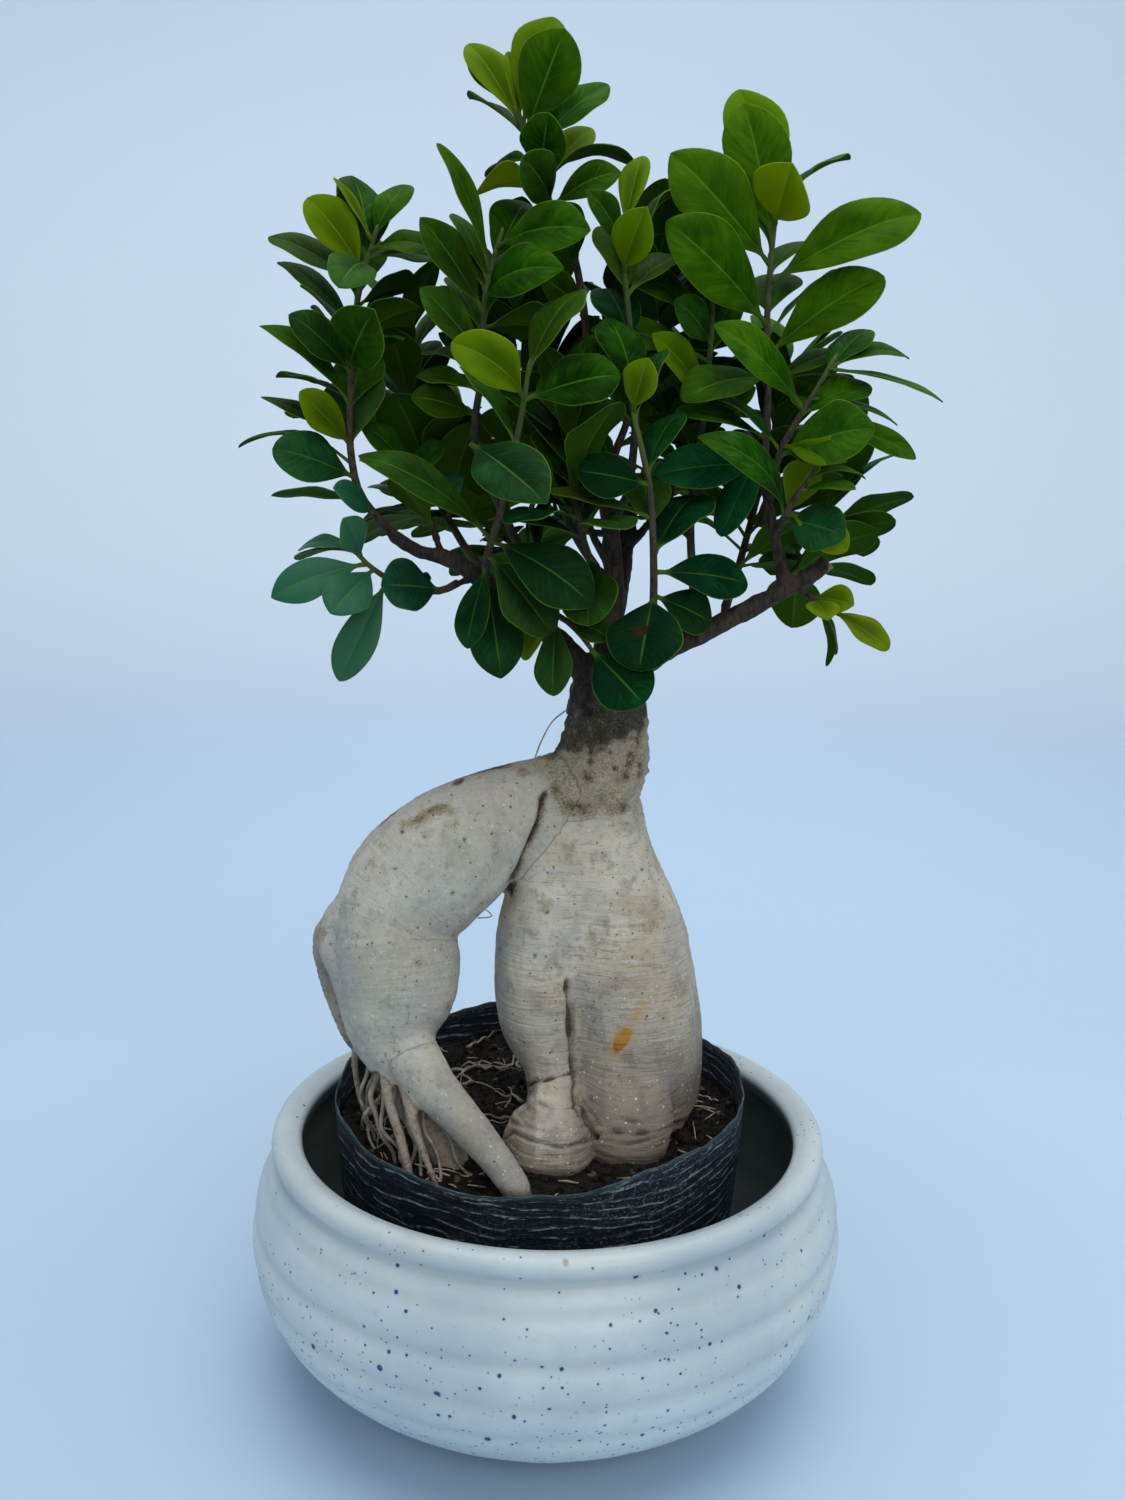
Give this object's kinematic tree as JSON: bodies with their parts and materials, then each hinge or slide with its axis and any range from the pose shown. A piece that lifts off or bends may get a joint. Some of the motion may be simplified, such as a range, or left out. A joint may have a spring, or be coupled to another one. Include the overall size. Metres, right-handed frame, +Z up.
{
  "type": "potted ginseng ficus",
  "caption": "Ginseng ficus with a swollen two-legged root and a dense leafy crown, in a black grow bag standing in a round speckled ceramic bowl.",
  "frame": {"origin": "middle of the bowl's flat underside, on the surface it stands on", "axes": "+Z up the plant, -Y the front that the picture shows, +X to the right seen from the front"},
  "size_m": [0.2989, 0.2866, 0.5844],
  "materials": {
    "glaze": "satin white glaze with cobalt speckles and soft throwing rings",
    "bag_film": "thin black film with fine pale stripes, slightly shiny",
    "soil": "damp crumbly peat and bark mix with straw and fine roots",
    "root_bark": "smooth beige-grey bark with fine wrinkles, dark pores and moss stains",
    "scion_bark": "rough dark brown bark",
    "foliage": "leathery leaves, glossy dark green above, paler below"
  },
  "bodies": {
    "root": {"ceramic_bowl": "glaze", "grow_bag": "bag_film", "potting_soil": "soil", "ginseng_root": "root_bark", "scion_wood": "scion_bark", "leafy_stem_top_tip": "foliage", "leafy_stem_top_middle": "foliage", "leafy_stem_centre_left": "foliage", "leafy_stem_front_left": "foliage", "leafy_stem_left_inner": "foliage", "leafy_stem_left_top": "foliage", "leafy_stem_left_low": "foliage", "leafy_stem_low_centre": "foliage", "leafy_stem_front_centre": "foliage", "leafy_stem_right_centre": "foliage", "leafy_stem_right_upper": "foliage", "leafy_stem_right_middle": "foliage", "leafy_stem_right_low": "foliage", "leafy_stem_limb_end": "foliage", "leafy_stem_back_centre": "foliage", "leafy_stem_back_right": "foliage", "leafy_stem_back_left": "foliage", "leafy_stem_inner_right": "foliage", "leafy_stem_inner_left": "foliage", "leafy_stem_side_right": "foliage", "leafy_stem_side_left": "foliage", "leafy_stem_far_back": "foliage", "leafy_stem_far_left": "foliage", "leafy_stem_far_right": "foliage", "leafy_stem_inner_front": "foliage"}
  },
  "joints": []
}
